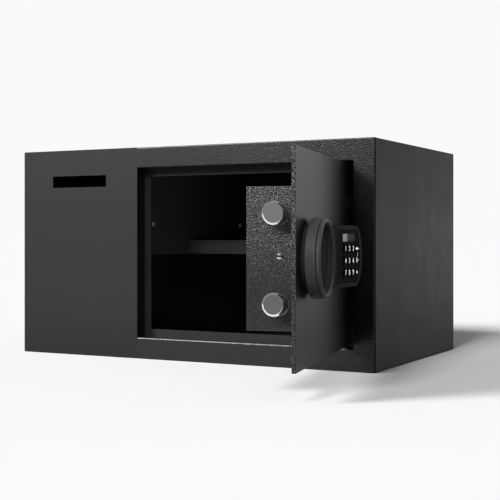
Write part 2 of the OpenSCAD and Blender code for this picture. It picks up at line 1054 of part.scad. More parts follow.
module knob_bezel()
{
    edge = 1;
    back = knob_lift + band_t;
    bevel = 1.6;
    bevel_drop = 0.3;
    rim_step = 1.2;
    rim_rise = ring_t - rim_step;
    rim_drop = 1.6;
    color([0.13, 0.13, 0.13])
        on_door()
            translate([knob_side, door_mid, 0])
                rotate_extrude($fn = 128)
                    polygon(concat(
                        [[recess_r, back], [knob_r - seam_chamfer, back], [knob_r - seam, back + seam],
                            [knob_r - seam, back + rim_rise], [knob_r - bevel, knob_front - bevel_drop]],
                        [for (a = [0 : 14 : 70])
                            [recess_r + edge * (2 - sin(a)), knob_front - edge * (1 - cos(a))]],
                        [[recess_r, knob_front - rim_drop]]));
}

module knob_cap()
{
    seat = knob_lift + grip_back;
    cap_room = 2;
    cap_side = 0.5;
    color([0.1, 0.1, 0.1])
        on_door()
            translate([knob_side, door_mid, 0])
                rotate_extrude($fn = 96)
                    polygon([[0, seat + cap_room], [spindle_r + cap_side, seat + cap_room],
                        [spindle_r + cap_side, seat], [recess_r - cap_play, seat],
                        [recess_r - cap_play, cap_floor], [0, cap_floor]]);
}

module spindle()
{
    color([0.6, 0.6, 0.6])
        on_door()
            translate([knob_side, door_mid, crank_out - crank_t])
                cylinder(r = spindle_r, h = knob_lift + grip_back + spindle_past - crank_out + crank_t);
}

module crank()
{
    pin_down = crank_gap + carriage_t + crank_pin_past;
    color([0.55, 0.55, 0.55])
        on_door()
            translate([knob_side, door_mid, crank_out - crank_t])
                rotate([0, 0, -45])
                    difference()
                    {
                        union()
                        {
                            cylinder(r = crank_hub_r, h = crank_t + hub_rise);
                            translate([-crank_pin_r - crank_wall, 0, 0])
                                cube([2 * (crank_pin_r + crank_wall), crank_r, crank_t]);
                            translate([0, crank_r, 0])
                                cylinder(r = crank_pin_r + crank_wall, h = crank_t);
                            translate([0, crank_r, -pin_down])
                                cylinder(r = crank_pin_r, h = pin_down);
                        }
                        translate([0, 0, -cut])
                            cylinder(r = spindle_r, h = crank_t + hub_rise + 2 * cut);
                    }
}

// One bolt with its guide rod, drawn in, at the given side of the door's middle
module bolt(side)
{
    color([0.72, 0.72, 0.73])
        on_door()
            translate([bolt_tip, door_mid + side * bolt_spacing / 2, -bolt_depth])
                rotate([0, 90, 0])
                    union()
                    {
                        cylinder(r1 = bolt_r - bolt_chamfer, r2 = bolt_r, h = bolt_chamfer);
                        translate([0, 0, bolt_chamfer])
                            cylinder(r = bolt_r, h = bolt_len - bolt_chamfer);
                        translate([0, 0, bolt_len])
                            cylinder(r = rod_r, h = rod_len);
                    }
}

module bolt_carriage()
{
    slot_low = crank_pin_z - crank_pin_r - slot_end_gap;
    slot_high = crank_r + crank_pin_r + slot_end_gap;
    slot_half = crank_pin_r + crank_play;
    tab_z = bolt_spacing / 2 - bolt_r - web_edge / 2;
    web_z = bolt_spacing / 2 + bolt_r + web_edge / 2;
    color([0.55, 0.55, 0.55])
        on_door()
            difference()
            {
                union()
                {
                    span([bolt_end, door_mid - web_z, web_out - carriage_t],
                        [bolt_end + web_w, door_mid + web_z, web_out]);
                    for (z = [door_mid - web_z, door_mid + tab_z])
                        span([bolt_end, z, web_out - carriage_t],
                            [bolt_end + carriage_t, z + web_z - tab_z, -bolt_depth + bolt_r]);
                }
                span([crank_pin_s - slot_half, door_mid + slot_low, web_out - carriage_t - cut],
                    [crank_pin_s + slot_half, door_mid + slot_high, web_out + cut]);
                for (side = [-1, 1])
                    translate([bolt_end - cut, door_mid + side * bolt_spacing / 2, -bolt_depth])
                        rotate([0, 90, 0])
                            cylinder(r = rod_r + run_fit, h = carriage_t + 2 * cut);
            }
}

// Outline of the keypad housing drawn in by inset, from its low end, with its middle at y = 0
module pad_outline(inset)
{
    intersection()
    {
        translate([pad_w - pad_frame_r, 0])
            circle(pad_frame_r - inset, $fn = 128);
        translate([inset, inset - pad_h / 2])
            square([pad_w - inset, pad_h - 2 * inset]);
    }
}

// Solid under the keypad's slanted face, sunk below it by depth
module pad_solid(inset, depth)
{
    intersection()
    {
        on_door()
            translate([pad_side, door_mid + pad_rise, 0])
                linear_extrude(pad_lift + pad_w)
                    pad_outline(inset);
        on_pad()
            translate([-pad_w, -pad_h, -2 * pad_w - depth])
                cube([4 * pad_w, 2 * pad_h, 2 * pad_w]);
    }
}

// Outline of the face plate, drawn in by inset
module face_outline(inset)
{
    pad_outline(pad_border + inset);
}

// Window in the housing's roof under the keys and the display
module roof_window()
{
    margin = window_gap + skirt;
    low_x = min(key_x - key_w / 2, display_x - display_w / 2) - margin;
    high_x = key_x + 3 * key_pitch_x + key_w / 2 + margin;
    low_y = key_y - 2 * key_pitch_y - key_h / 2 - margin;
    high_y = display_y + display_h / 2 + window_top;
    translate([low_x, low_y])
        square([high_x - low_x, high_y - low_y]);
}

module keypad_housing()
{
    color([0.07, 0.07, 0.07])
        difference()
        {
            pad_solid(0, 0);
            difference()
            {
                pad_solid(pad_wall, face_sink + face_t + pad_roof);
                boss_posts();
            }
            on_pad()
                translate([0, 0, roof_w])
                    linear_extrude(pad_w)
                        face_outline(0);
            on_pad()
                translate([0, 0, roof_w - 2 * pad_roof])
                    linear_extrude(2 * pad_roof + cut)
                        roof_window();
        }
}

// Posts from the housing's roof that carry the circuit board
module boss_posts()
{
    for (x = [key_x - key_w, key_x + boss_side], side = [-1, 1])
        on_pad()
            translate([x, side * (pad_h / 2 - pad_wall - boss_in), membrane_w - membrane_t])
                cylinder(r = boss_r, h = -membrane_w + membrane_t);
}

module keypad_face()
{
    color([0.05, 0.05, 0.05])
        on_pad()
            translate([0, 0, roof_w])
                linear_extrude(face_t)
                    difference()
                    {
                        face_outline(face_play);
                        for (col = [0 : 3], row = [0 : 2])
                            key_place(col, row)
                                round_rect(key_w + 2 * key_gap, key_h + 2 * key_gap, key_corner + key_gap);
                        translate([display_x, display_y])
                            square([display_w + 2 * face_play, display_h + 2 * face_play], center = true);
                    }
}

module display_window()
{
    color([0.3, 0.33, 0.35])
        on_pad()
            translate([display_x, display_y, roof_w])
                union()
                {
                    translate([-display_w / 2, -display_h / 2, 0])
                        cube([display_w, display_h, face_t - display_sink]);
                    translate([-display_w / 2, -display_h / 2, membrane_w - roof_w])
                        cube([display_w, display_h - display_step, -membrane_w + roof_w]);
                }
}

// Membrane with its board below it, cut to the space inside the housing
module pad_layer(low, thick)
{
    intersection()
    {
        pad_solid(pad_wall + layer_play, 0);
        on_pad()
            translate([key_x - key_w - layer_over, -pad_h / 2, low])
                cube([3 * key_pitch_x + 2 * key_w + layer_over, pad_h, thick]);
    }
}

module key_membrane()
{
    color([0.35, 0.35, 0.36])
        difference()
        {
            pad_layer(membrane_w - membrane_t, membrane_t);
            boss_posts();
        }
}

module keypad_board()
{
    color([0.1, 0.3, 0.16])
        pad_layer(membrane_w - membrane_t - board_t, board_t);
}

// Place of the key in a column from the left and a row from the top
module key_place(col, row)
{
    translate([key_x + col * key_pitch_x, key_y - row * key_pitch_y])
        children();
}

module key(col, row)
{
    color([0.08, 0.08, 0.08])
        on_pad()
            key_place(col, row)
                union()
                {
                    translate([0, 0, key_foot])
                        linear_extrude(key_rise - face_sink - key_foot)
                            round_rect(key_w, key_h, key_corner);
                    translate([0, 0, key_foot])
                        linear_extrude(skirt_t)
                            round_rect(key_w + 2 * skirt, key_h + 2 * skirt, key_corner);
                }
}

body_shell();
back_panel();
drop_panel();
front_frame();
jamb_frame();
partition();
partition_screws();
shelf();
shelf_rivets();
drop_chute();
fishing_baffle();
hinge_pins();
hinge_washers();
door_plate();
hinge_lugs();
lock_chassis();
lock_cover();
cover_screws();
cover_posts();
battery_tray();
battery_cells();
battery_lid();
control_board();
solenoid();
solenoid_plunger();
spindle_bush();
knob_collar();
knob_grip();
knob_bezel();
knob_cap();
spindle();
crank();
bolt(1);  // bolt_upper
bolt(-1);  // bolt_lower
bolt_carriage();
keypad_housing();
keypad_face();
display_window();
key_membrane();
keypad_board();
key(0, 0);  // key_1
key(1, 0);  // key_2
key(2, 0);  // key_3
key(3, 0);  // key_menu
key(0, 1);  // key_4
key(1, 1);  // key_5
key(2, 1);  // key_6
key(3, 1);  // key_0
key(0, 2);  // key_7
key(1, 2);  // key_8
key(2, 2);  // key_9
key(3, 2);  // key_enter
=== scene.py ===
"""The drop safe's look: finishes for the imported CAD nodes, fine detail on the keypad, light and camera."""

import json
import math

import bmesh
import bpy
from mathutils import Matrix, Vector

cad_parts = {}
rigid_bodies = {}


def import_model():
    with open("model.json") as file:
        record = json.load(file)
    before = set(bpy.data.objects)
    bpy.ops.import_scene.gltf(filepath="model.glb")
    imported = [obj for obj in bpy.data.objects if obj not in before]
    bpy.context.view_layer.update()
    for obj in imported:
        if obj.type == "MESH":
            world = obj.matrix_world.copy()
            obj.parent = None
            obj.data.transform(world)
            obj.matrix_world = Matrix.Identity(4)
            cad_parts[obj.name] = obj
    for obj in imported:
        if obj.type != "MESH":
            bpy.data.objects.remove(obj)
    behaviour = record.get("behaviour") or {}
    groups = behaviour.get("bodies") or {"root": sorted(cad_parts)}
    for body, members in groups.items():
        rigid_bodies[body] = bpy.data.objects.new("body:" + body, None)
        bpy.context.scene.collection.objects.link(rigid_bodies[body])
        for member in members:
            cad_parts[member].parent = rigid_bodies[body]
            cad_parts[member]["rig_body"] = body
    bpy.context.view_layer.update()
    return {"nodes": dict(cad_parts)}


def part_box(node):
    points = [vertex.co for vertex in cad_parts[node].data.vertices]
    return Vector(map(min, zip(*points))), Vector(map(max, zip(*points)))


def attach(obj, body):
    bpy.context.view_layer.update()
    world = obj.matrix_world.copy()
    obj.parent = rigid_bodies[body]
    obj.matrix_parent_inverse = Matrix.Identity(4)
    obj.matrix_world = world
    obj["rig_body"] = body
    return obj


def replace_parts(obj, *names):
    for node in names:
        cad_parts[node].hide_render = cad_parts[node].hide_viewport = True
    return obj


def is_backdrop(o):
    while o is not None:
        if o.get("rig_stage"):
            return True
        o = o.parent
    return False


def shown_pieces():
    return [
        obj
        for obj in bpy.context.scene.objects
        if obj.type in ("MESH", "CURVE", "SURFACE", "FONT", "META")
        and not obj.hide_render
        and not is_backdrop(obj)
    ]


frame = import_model()
nodes = frame["nodes"]
MM = 0.001

# Camera, solved from the photograph: level, with a long lens and a small vertical shift.
CAMERA_PLACE = (0.6577, -1.2188, 0.1466)
CAMERA_TURN = 27.87
CAMERA_LENS = 78.57
CAMERA_SHIFT = -0.0306

camera = bpy.data.objects.new("camera", bpy.data.cameras.new("camera"))
camera.location = CAMERA_PLACE
camera.rotation_euler = (math.radians(90), 0, math.radians(CAMERA_TURN))
camera.data.lens = CAMERA_LENS
camera.data.sensor_width = 36
camera.data.shift_y = CAMERA_SHIFT
camera.data.clip_start = 0.05
camera.data.clip_end = 100
bpy.context.scene.collection.objects.link(camera)
bpy.context.scene.camera = camera
bpy.context.scene.view_settings.view_transform = "Standard"


# The front's plane, the opening in the front frame and the bend around it, in millimetres.
FRONT_Y = -137.5
OPENING_LEFT, OPENING_RIGHT, OPENING_LOW = -66.8, 211.8, 25.0
BEND = 1.2

# How far the door stands open, and how far the keypad's face slopes from the door, in degrees.
DOOR_OPEN = 102.5
PAD_SLANT = 11.8


def face_frame(degrees):
    """The columns of an upright face's frame: level along the face, up, and out of the face."""
    turn = math.radians(degrees)
    along = (-math.sin(turn), math.cos(turn), 0)
    out = (math.cos(turn), math.sin(turn), 0)
    return Matrix((along, (0, 0, 1), out)).transposed()


# Along the door means toward its hinge, and out means out of its outer face.
DOOR = face_frame(DOOR_OPEN - 90)
FREE_EDGE = -DOOR.col[0]
PAD = face_frame(DOOR_OPEN - 90 - PAD_SLANT)
PAD_ALONG = PAD.col[0].copy()
PAD_OUT = PAD.col[2].copy()

# The white of the background and of the floor, as the camera sees them.
WHITE = 0.955

# Most of a noise's values lie between these two.
NOISE_LOW, NOISE_HIGH = 0.3, 0.7


class Nodes:
    """Short calls that add and link nodes in one node tree."""

    def __init__(self, tree):
        self.tree = tree
        tree.nodes.clear()

    def link(self, a, b):
        self.tree.links.new(a, b)

    def add(self, kind, **settings):
        """Adds a node and sets its options."""
        node = self.tree.nodes.new(kind)
        for name, value in settings.items():
            setattr(node, name, value)
        return node

    def give(self, socket, value):
        """Links the value if it is a socket, and types it in otherwise."""
        if isinstance(value, bpy.types.NodeSocket):
            self.link(value, socket)
        elif socket.type == "RGBA":
            socket.default_value = grey(value)
        else:
            socket.default_value = value

    def feed(self, node, **values):
        """Gives values to the inputs of these names, with _ for a space."""
        for name, value in values.items():
            self.give(node.inputs[name.replace("_", " ")], value)
        return node

    def reach(self, value, start, end, low, high):
        """A smooth change from low to high while the value goes from start to end."""
        node = self.add("ShaderNodeMapRange", interpolation_type="SMOOTHSTEP")
        self.feed(node, Value=value, From_Min=start, From_Max=end, To_Min=low, To_Max=high)
        return node.outputs["Result"]


class Finish(Nodes):
    """One material: a principled shader, with patterns in object coordinates that move with the piece."""

    def __init__(self, slot, colour, rough, specular, metal=0.0):
        self.mat = bpy.data.materials.get(slot) or bpy.data.materials.new(slot)
        self.mat.use_nodes = True
        self.mat.diffuse_color = grey(colour)
        super().__init__(self.mat.node_tree)
        self.shader = self.add("ShaderNodeBsdfPrincipled")
        self.link(self.shader.outputs["BSDF"], self.add("ShaderNodeOutputMaterial").inputs["Surface"])
        self.feed(self.shader, Base_Color=colour, Metallic=metal)
        self.feed(self.shader, Roughness=rough, Specular_IOR_Level=specular)
        self.coords = self.add("ShaderNodeTexCoord").outputs["Object"]
        self.normal = None

    def noise(self, size, detail, stretch=None):
        """Soft noise with features of about the given size, in metres."""
        at = self.coords
        if stretch:
            at = self.feed(self.add("ShaderNodeMapping"), Vector=at, Scale=stretch).outputs["Vector"]
        node = self.add("ShaderNodeTexNoise")
        self.feed(node, Vector=at, Scale=1.0 / size, Detail=detail, Roughness=0.55)
        return node.outputs["Fac"]

    def cells(self, size):
        """Rounded grains of about the given size, in metres."""
        node = self.feed(self.add("ShaderNodeTexVoronoi"), Vector=self.coords, Scale=1.0 / size)
        return node.outputs["Distance"]

    def place(self, axis):
        """The object coordinate along one axis, in metres."""
        node = self.add("ShaderNodeSeparateXYZ")
        self.link(self.coords, node.inputs[0])
        return node.outputs[axis]

    def facing(self, way):
        """How nearly the surface faces the given way, in the piece's own frame."""
        node = self.add("ShaderNodeVectorMath", operation="DOT_PRODUCT")
        self.link(self.add("ShaderNodeTexCoord").outputs["Normal"], node.inputs[0])
        node.inputs[1].default_value = way
        return node.outputs["Value"]

    def ramp(self, value, *stops):
        """A ramp of (place, grey or colour) stops."""
        node = self.add("ShaderNodeValToRGB")
        self.link(value, node.inputs["Fac"])
        points = node.color_ramp.elements
        while len(points) < len(stops):
            points.new(0.5)
        for point, (place, tone) in zip(points, stops):
            point.position = place
            point.color = grey(tone)
        return node.outputs["Color"]

    def wander(self, noise, tone, low, high):
        """A colour or a number that the noise takes from low to high times its value."""
        return self.ramp(noise, (NOISE_LOW, shade(tone, low)), (NOISE_HIGH, shade(tone, high)))

    def times(self, a, b):
        node = self.add("ShaderNodeMath", operation="MULTIPLY")
        self.give(node.inputs[0], a)
        self.give(node.inputs[1], b)
        return node.outputs["Value"]

    def mix(self, amount, a, b):
        """The colour a where the amount is 0, and b where it is 1."""
        node = self.add("ShaderNodeMix", data_type="RGBA")
        for socket, value in zip((node.inputs["Factor"], node.inputs[6], node.inputs[7]), (amount, a, b)):
            self.give(socket, value)
        return node.outputs[2]

    def bump(self, height, depth, strength=1.0):
        """Relief of the given depth in metres, added to what is there."""
        node = self.add("ShaderNodeBump")
        self.feed(node, Height=height, Distance=depth, Strength=strength)
        if self.normal:
            self.link(self.normal, node.inputs["Normal"])
        self.normal = node.outputs["Normal"]
        self.link(self.normal, self.shader.inputs["Normal"])

    def paint(self, colour):
        self.link(colour, self.shader.inputs["Base Color"])

    def gloss(self, rough):
        self.link(rough, self.shader.inputs["Roughness"])

    def fade(self, level, rough):
        """Painted shade: a darker base colour where the level falls below 1, and a little less rough there.
        """
        colour = self.shader.inputs["Base Color"].links[0].from_socket
        self.paint(self.mix(level, 0.0, colour))
        self.gloss(self.ramp(level, (0.5, rough * 0.90), (1.0, rough)))


def grey(tone):
    """A grey level or a colour as four numbers."""
    if isinstance(tone, (int, float)):
        return (tone, tone, tone, 1.0)
    return tuple(tone) if len(tone) == 4 else (*tone, 1.0)


def shade(colour, factor):
    return tuple(c * factor for c in grey(colour)[:3])


def powder(slot, colour, rough, specular, grain, depth, painted_glint_colour, grain_and_glints):
    """Powder coat: rounded grains over a slow change of tone, with painted glints: the grains' crests are
    painted paler.

    The function given makes the strength of both the relief and the painted glints, so that they can change
    over the piece.
    """
    f = Finish(slot, colour, rough, specular)
    strength = grain_and_glints(f)
    fine = grain * 0.9
    # Painted glints: the grains' crests are painted paler, as bright specks.
    painted_highlight = f.ramp(f.noise(fine, 1), (0.50, 0.0), (0.68, 1.0))
    f.paint(f.mix(f.times(painted_highlight, strength), f.wander(f.noise(0.08, 1), colour, 0.95, 1.05), painted_glint_colour))
    f.bump(f.noise(grain, 2), depth, strength)
    f.bump(f.cells(fine), depth * 0.5, strength)
    return f


def smooth_paint(slot, colour, rough, specular):
    """Plain coat with a slight orange peel and a fine grain."""
    f = Finish(slot, colour, rough, specular)
    peel, peel_depth = 0.004, 0.00003
    grain, grain_depth = 0.0008, 0.000009
    f.paint(f.wander(f.noise(0.09, 1), colour, 0.97, 1.03))
    f.gloss(f.wander(f.noise(0.03, 1), rough, 0.96, 1.04))
    f.bump(f.noise(peel, 1), peel_depth)
    f.bump(f.noise(grain, 1), grain_depth)
    return f


def plastic(slot, colour, rough, specular, grain=0.0006, depth=0.00001):
    """Moulded plastic with a fine spark-eroded grain."""
    f = Finish(slot, colour, rough, specular)
    f.paint(f.wander(f.noise(0.03, 2), colour, 0.95, 1.05))
    f.gloss(f.wander(f.noise(0.004, 2), rough, 0.93, 1.07))
    f.bump(f.noise(grain, 2), depth)
    return f


def metal(slot, colour, rough, stretch, streak=0.0015, bare=1.0):
    """Bare or plated metal with fine marks along one direction."""
    f = Finish(slot, colour, rough, 0.5, bare)
    marks = f.noise(streak, 3, stretch)
    mark_depth = 0.000004
    f.paint(f.wander(marks, colour, 0.88, 1.06))
    f.gloss(f.wander(marks, rough, 0.8, 1.2))
    f.bump(marks, mark_depth)


def display_glass(slot, dark, painted_highlight):
    """Glossy window over the display, with a painted reflection along Y: light grey over its first part, then
    dimmer, then dark.
    """
    f = Finish(slot, dark, 0.3, 0.03)
    low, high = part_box("display_window")
    along = f.feed(f.add("ShaderNodeMapRange"), Value=f.place("Y"), From_Min=low.y, From_Max=high.y)
    # Painted reflection: a light grey field, then a dim grey, then dark.
    painted_reflection_end, dim_start, dim = 0.28, 0.42, shade(dark, 2.4)
    stops = ((0.0, painted_highlight), (painted_reflection_end, painted_highlight), (dim_start, dim), (1.0, dark))
    f.paint(f.ramp(along.outputs["Result"], *stops))
    ripple, ripple_depth = 0.004, 0.000003
    f.bump(f.noise(ripple, 1), ripple_depth)


def face_with_painted_sheen(slot, colour, painted_sheen_colour):
    """The keypad's face, with painted sheen: a little paler near the free edge of the door."""
    f = plastic(slot, colour, 0.4, 0.003, grain=0.002, depth=0.000005)
    near, far = -0.287, -0.268
    f.paint(f.ramp(f.reach(f.place("Y"), near, far, 0.0, 1.0), (0.0, painted_sheen_colour), (1.0, colour)))


def frame_grain_and_glints(f):
    """Coarser grain and stronger painted glints toward the frame's right end."""
    return f.reach(f.place("X"), -0.02, 0.21, 0.35, 1.0)


def lock_grain_and_glints(f):
    """Coarser grain and stronger painted glints toward the lock box's top."""
    return f.reach(f.place("Z"), 0.07, 0.18, 0.35, 1.0)


def door_grain_and_glints(f):
    """Coarse grain and strong painted glints on the door's free edge, more so toward its top, and fine on its
    faces.
    """
    edge = f.reach(f.facing(FREE_EDGE), 0.80, 0.97, 0.10, 1.0)
    return f.times(edge, f.reach(f.place("Z"), 0.06, 0.20, 0.5, 1.0))


def front_painted_shade(f):
    """Painted shade: the front's colour darkens toward the cabinet's foot and toward its right edge."""
    foot = f.reach(f.place("Z"), 0.0, 0.07, 0.66, 1.0)
    right = f.reach(f.place("X"), 0.09, 0.24, 1.0, 0.70)
    return f.times(foot, right)


# Finishes of the CAD's slots: colour, roughness and specular level, or the marks' stretch for a metal.
# Grain sizes and depths are in metres.
FRAME_ROUGH = 0.30
# The powders' paler grain crests are painted glints.
front_finish = powder("front_powder", 0.010, FRAME_ROUGH, 0.36, grain=0.0020, depth=0.00028, painted_glint_colour=0.025,
                      grain_and_glints=frame_grain_and_glints)
# Painted shade on the front frame, darker toward the foot and the right edge.
front_finish.fade(front_painted_shade(front_finish), FRAME_ROUGH)
powder("lock_powder", 0.016, 0.23, 0.4, grain=0.0013, depth=0.00060, painted_glint_colour=0.085, grain_and_glints=lock_grain_and_glints)
powder("door_powder", 0.008, 0.36, 0.22, grain=0.0012, depth=0.00060, painted_glint_colour=0.20, grain_and_glints=door_grain_and_glints)
DROP_ROUGH = 0.50
drop_finish = smooth_paint("drop_powder", 0.0125, DROP_ROUGH, 0.21)
# Painted shade on the drop panel, darker toward the foot.
drop_finish.fade(front_painted_shade(drop_finish), DROP_ROUGH)
smooth_paint("shell_powder", 0.0115, 0.55, 0.13)
smooth_paint("jamb_powder", 0.014, 0.45, 0.25)
smooth_paint("inner_paint", 0.040, 0.45, 0.5)
plastic("black_plastic", 0.045, 0.5, 0.0)
plastic("knob_plastic", 0.058, 0.5, 0.12)
plastic("pad_plastic", 0.009, 0.45, 0.02)
face_with_painted_sheen("pad_face", 0.004, 0.010)
plastic("key_plastic", 0.003, 0.4, 0.006)
plastic("key_rubber", 0.10, 0.8, 0.2)
plastic("nylon", 0.85, 0.5, 0.3)
plastic("board_green", (0.03, 0.13, 0.06), 0.45, 0.5, grain=0.003)
plastic("cell_wrap", (0.42, 0.30, 0.09), 0.3, 0.5)
plastic("coil_brass", (0.38, 0.28, 0.10), 0.6, 0.4)
display_glass("display_glass", 0.005, 0.20)
metal("bolt_chrome", 0.86, 0.12, (1.0, 1.0, 8.0))
metal("bright_steel", 0.70, 0.3, (1.0, 1.0, 3.0), bare=0.8)
metal("dark_steel", 0.2, 0.4, (1.0, 1.0, 4.0))
metal("zinc_steel", 0.5, 0.38, (1.0, 4.0, 1.0), streak=0.003)
metal("bush_brass", (0.66, 0.50, 0.22), 0.35, (4.0, 1.0, 1.0))


def paint_floor():
    """White floor that keeps shadows. It bounces little light, and mirrors darker behind the object."""
    f = Finish("studio_floor", WHITE, 0.9, 0.1)
    path = f.add("ShaderNodeLightPath")
    mirrored = f.reach(f.place("Y"), -0.2, 0.2, 0.94, 0.50)
    bounced = 0.14
    shown = f.mix(path.outputs["Is Glossy Ray"], WHITE, mirrored)
    f.paint(f.mix(path.outputs["Is Diffuse Ray"], shown, bounced))
    return f.mat


def build_floor():
    """The white sheet runs far back and ends in front of the object, outside the camera's view."""
    back, front, side, level = 30.0, -0.9, 20.0, -0.0002
    mesh = bpy.data.meshes.new("studio_floor")
    corners = [(-side, front, level), (side, front, level), (side, back, level), (-side, back, level)]
    mesh.from_pydata(corners, [], [(0, 1, 2, 3)])
    floor = bpy.data.objects.new("studio_floor", mesh)
    bpy.context.scene.collection.objects.link(floor)
    mesh.materials.append(paint_floor())
    floor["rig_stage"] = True
    return floor


def build_world():
    """White for the camera, bright behind the object for reflections, and a soft dome for light."""
    world = bpy.data.worlds.new("studio")
    bpy.context.scene.world = world
    world.use_nodes = True
    n = Nodes(world.node_tree)

    def glow(strength):
        return n.feed(n.add("ShaderNodeBackground"), Color=1.0, Strength=strength).outputs[0]

    def choose(factor, a, b):
        made = n.add("ShaderNodeMixShader")
        for socket, source in zip(made.inputs, (factor, a, b)):
            n.link(source, socket)
        return made.outputs[0]

    dome, behind, below, above = 0.17, 0.95, 0.08, 0.24
    path = n.add("ShaderNodeLightPath")
    way = n.add("ShaderNodeSeparateXYZ")
    n.link(n.add("ShaderNodeTexCoord").outputs["Generated"], way.inputs[0])
    front = glow(n.reach(way.outputs["Z"], -0.15, 0.05, below, above))
    mirror = choose(n.reach(way.outputs["Y"], 0.0, 0.5, 0.0, 1.0), front, glow(behind))
    lit = choose(path.outputs["Is Glossy Ray"], glow(dome), mirror)
    seen = choose(path.outputs["Is Transmission Ray"], lit, glow(WHITE))
    seen = choose(path.outputs["Is Camera Ray"], seen, glow(WHITE))
    n.link(seen, n.add("ShaderNodeOutputWorld").inputs["Surface"])


def lamp_holder(name, lamp, place, aim, lit):
    """Hangs a lamp that lights the given pieces only."""
    holder = bpy.data.objects.new(name, lamp)
    holder.location = place
    holder.rotation_mode = "QUATERNION"
    holder.rotation_quaternion = Vector(aim).to_track_quat("-Z", "Y")
    bpy.context.scene.collection.objects.link(holder)
    group = bpy.data.collections.new(name + "_receivers")
    for piece in lit:
        group.objects.link(piece)
    holder.light_linking.receiver_collection = group
    holder.visible_camera = False


def sun(name, along, down, strength, spread, lit):
    """A soft sun: the way it travels over the floor, how steeply it falls, and its width in degrees."""
    lamp = bpy.data.lights.new(name, "SUN")
    lamp.energy = strength
    lamp.angle = math.radians(spread)
    fall = math.radians(down)
    flat = Vector((along[0], along[1], 0)).normalized() * math.cos(fall)
    lamp_holder(name, lamp, (0, 0, 2), (flat.x, flat.y, -math.sin(fall)), lit)


def area_lamp(name, place, target, size, watts, lit):
    """A softbox near the object."""
    lamp = bpy.data.lights.new(name, "AREA")
    lamp.shape = "RECTANGLE"
    lamp.size, lamp.size_y = size
    lamp.energy = watts
    lamp_holder(name, lamp, place, Vector(target) - Vector(place), lit)


# Pieces. Each is made from its CAD node or placed on it, and rides on the same body.
# An edge that turns by more than this is sharp.
SHARP = math.radians(28)


def clean_mesh(node):
    """The node's mesh with its points merged and its flat faces joined."""
    mesh = node.data.copy()
    for name in ("custom_normal", "sharp_edge"):
        if name in mesh.attributes:
            mesh.attributes.remove(mesh.attributes[name])
    bm = bmesh.new()
    bm.from_mesh(mesh)
    same_point, same_plane = 2e-6, math.radians(0.5)
    bmesh.ops.remove_doubles(bm, verts=bm.verts, dist=same_point)
    bmesh.ops.dissolve_limit(bm, angle_limit=same_plane, verts=bm.verts, edges=bm.edges)
    return mesh, bm


def is_sharp(edge):
    return len(edge.link_faces) == 2 and edge.calc_face_angle(0) > SHARP


def store(name, mesh, bm, body, slot):
    """Writes the mesh, shades it smooth between its sharp edges, and makes it a piece."""
    for face in bm.faces:
        face.smooth = True
    for edge in bm.edges:
        edge.smooth = not is_sharp(edge)
    bm.to_mesh(mesh)
    bm.free()
    mesh.materials.clear()
    mesh.materials.append(bpy.data.materials[slot])
    piece = bpy.data.objects.new(name, mesh)
    bpy.context.scene.collection.objects.link(piece)
    weighted = piece.modifiers.new("weighted", "WEIGHTED_NORMAL")
    weighted.keep_sharp = True
    weighted.weight = 100
    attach(piece, body)
    return piece


def round_edges(bm, edges, width, segments):
    """Rounds the edges by the given width, in millimetres."""
    bmesh.ops.bevel(bm, geom=edges, offset=width * MM, offset_type="OFFSET", segments=segments,
                    profile=0.5, affect="EDGES", clamp_overlap=True)


def dressed(name, width, segments=2, first=None, shape=None, finish=None):
    """A copy of the node with its sharp edges rounded by the given width, in millimetres.

    The first function changes the plain shape, and the shape function the rounded one.
    """
    node = nodes[name]
    slot = finish or node.material_slots[0].material.name
    mesh, bm = clean_mesh(node)
    if first:
        first(bm)
    round_edges(bm, [e for e in bm.edges if is_sharp(e)], width, segments)
    if shape:
        shape(bm)
    piece = store(name + "_finish", mesh, bm, node["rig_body"], slot)
    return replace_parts(piece, name)


def dark_detail(name, bm, carrier):
    """A near-black detail that rides with the named node."""
    return store(name, bpy.data.meshes.new(name), bm, nodes[carrier]["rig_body"], "key_plastic")


def add_block(bm, middle, sizes, turn=Matrix.Identity(3)):
    """Adds a box of the given sizes, in millimetres, around a place in metres."""
    scale = Matrix.Diagonal((*(size * MM for size in sizes), 1.0))
    bmesh.ops.create_cube(bm, size=1.0, matrix=Matrix.Translation(middle) @ turn.to_4x4() @ scale)


def measured(turn, verts):
    """The points' places along the columns of a turned frame."""
    back = turn.transposed()
    return [back @ v.co for v in verts]


def span(name, turn):
    """Lowest and highest corner of a node, measured along the columns of a turned frame."""
    points = measured(turn, nodes[name].data.vertices)
    return [Vector([pick(p[i] for p in points) for i in range(3)]) for pick in (min, max)]


def turn_corners(bm):
    """Rounds the keypad's corners on the knob's side, in the face and in the recess around it."""
    near_part, radius = 8, 3.0
    near = min(v.co.dot(PAD_ALONG) for v in bm.verts) + near_part * MM

    def is_corner(edge):
        a, b = (v.co for v in edge.verts)
        upright = abs((b - a).normalized().dot(PAD_OUT)) > 0.99
        return (upright and a.dot(PAD_ALONG) < near and len(edge.link_faces) == 2
                and abs(edge.calc_face_angle(0)) > math.radians(80))

    round_edges(bm, [e for e in bm.edges if is_corner(e)], radius, 5)


def draw_in_ends(bm):
    """Draws in the keypad's far corners, so that its far side bulges as in the photograph."""
    pad_middle, pad_half = 126.0, 29.5
    straight, most, far_part = 21.0, 6.0, 40
    near = min(v.co.dot(PAD_ALONG) for v in bm.verts) + far_part * MM
    for v in bm.verts:
        away = abs(v.co.z / MM - pad_middle)
        if away > straight and v.co.dot(PAD_ALONG) > near:
            part = min(1.0, (away - straight) / (pad_half - straight))
            v.co -= PAD_ALONG * most * MM * (1 - math.sqrt(1 - part * part))


def shape_pad(bm):
    turn_corners(bm)
    draw_in_ends(bm)


# The prints' thickness, the digits' height, the keys' dish and its rim, in millimetres.
PRINT = 0.06
DIGIT_H = 4.6
DISH = 0.15
RIM = 0.7


